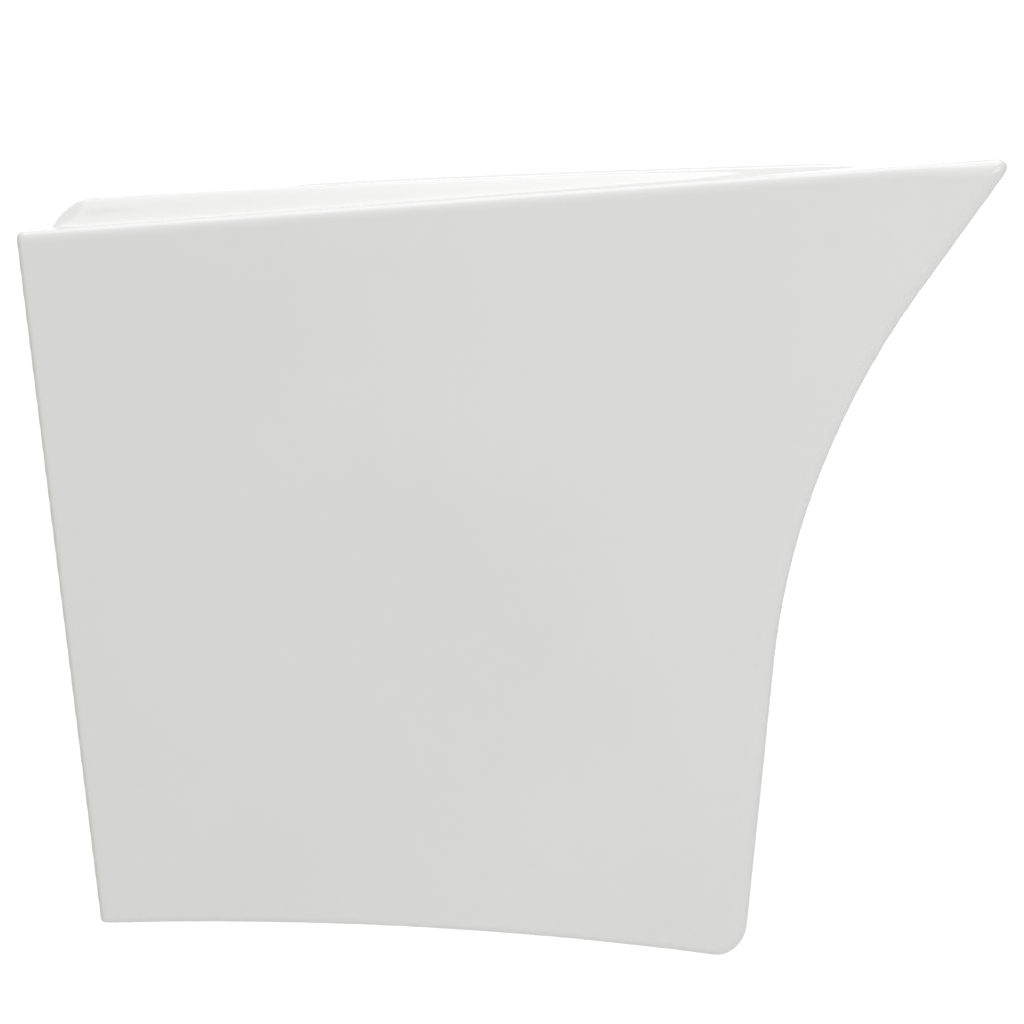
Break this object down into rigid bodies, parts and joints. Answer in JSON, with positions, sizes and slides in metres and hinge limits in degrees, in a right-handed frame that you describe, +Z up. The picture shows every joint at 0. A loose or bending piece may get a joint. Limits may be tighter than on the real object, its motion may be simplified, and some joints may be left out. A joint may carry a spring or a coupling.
{
  "type": "pedestal sink",
  "caption": "Wall-hung glazed ceramic washbasin with an integral half-pedestal shroud, a concave front, a click-clack waste and a bottle trap.",
  "frame": {"origin": "on the wall plane, midway between the two wall-fixing holes", "axes": "+Z up, +Y into the wall, the bowl and its front lip towards -Y, +X to the right as the user faces the basin"},
  "size_m": [0.45, 0.5, 0.4361],
  "materials": {
    "ceramic": "glossy white glaze",
    "chrome_trim": "polished",
    "chrome_waste": "polished",
    "chrome_plug": "polished",
    "brass": "machined",
    "acetal": "moulded acetal",
    "spring_steel": "drawn wire",
    "stem_steel": "satin",
    "rubber": "matt",
    "slip_plastic": "moulded polyethylene",
    "trap_plastic": "moulded white polypropylene",
    "trap_nut_plastic": "moulded white polypropylene",
    "rose_plastic": "moulded white polypropylene"
  },
  "bodies": {
    "basin": {"basin": "ceramic", "overflow_trim": "chrome_trim", "waste_upper_seal": "rubber", "waste_body": "chrome_waste", "waste_crossbar": "brass", "click_cartridge": "acetal", "click_spring": "spring_steel", "waste_lower_seal": "rubber", "waste_slip_washer": "slip_plastic", "waste_backnut": "brass", "trap_inlet_nut": "trap_nut_plastic", "trap_inlet_washer": "rubber", "trap_dip_tube": "trap_plastic", "trap_top_nut": "trap_nut_plastic", "trap_top_washer": "rubber", "trap_body": "trap_plastic", "trap_outlet_nut": "trap_nut_plastic", "trap_outlet_washer": "rubber", "trap_outlet_pipe": "trap_plastic", "wall_rose": "rose_plastic"},
    "plug": {"waste_plug": "chrome_plug", "plug_seal": "rubber", "plug_stem": "stem_steel"},
    "cup_seal": {"trap_cup_seal": "rubber"},
    "cup": {"trap_cup": "trap_plastic"}
  },
  "joints": [
    {"name": "plug_slide", "type": "slide", "parent": "basin", "child": "plug", "axis": [0, 0, 1], "range_m": [0, 0.008], "deforming": ["click_spring"]},
    {"name": "cup_drop", "type": "slide", "parent": "basin", "child": "cup_seal", "axis": [0, 0, -1], "range_m": [0, 0.012]},
    {"name": "cup_unscrew", "type": "hinge", "parent": "cup_seal", "child": "cup", "pos_m": [0, -0.24, -0.28], "axis": [0, 0, -1], "range_deg": [0, 1080]}
  ],
  "couplings": [
    {"joint": "cup_drop", "follows": "cup_unscrew", "m_per_rad": 0.00063662}
  ]
}
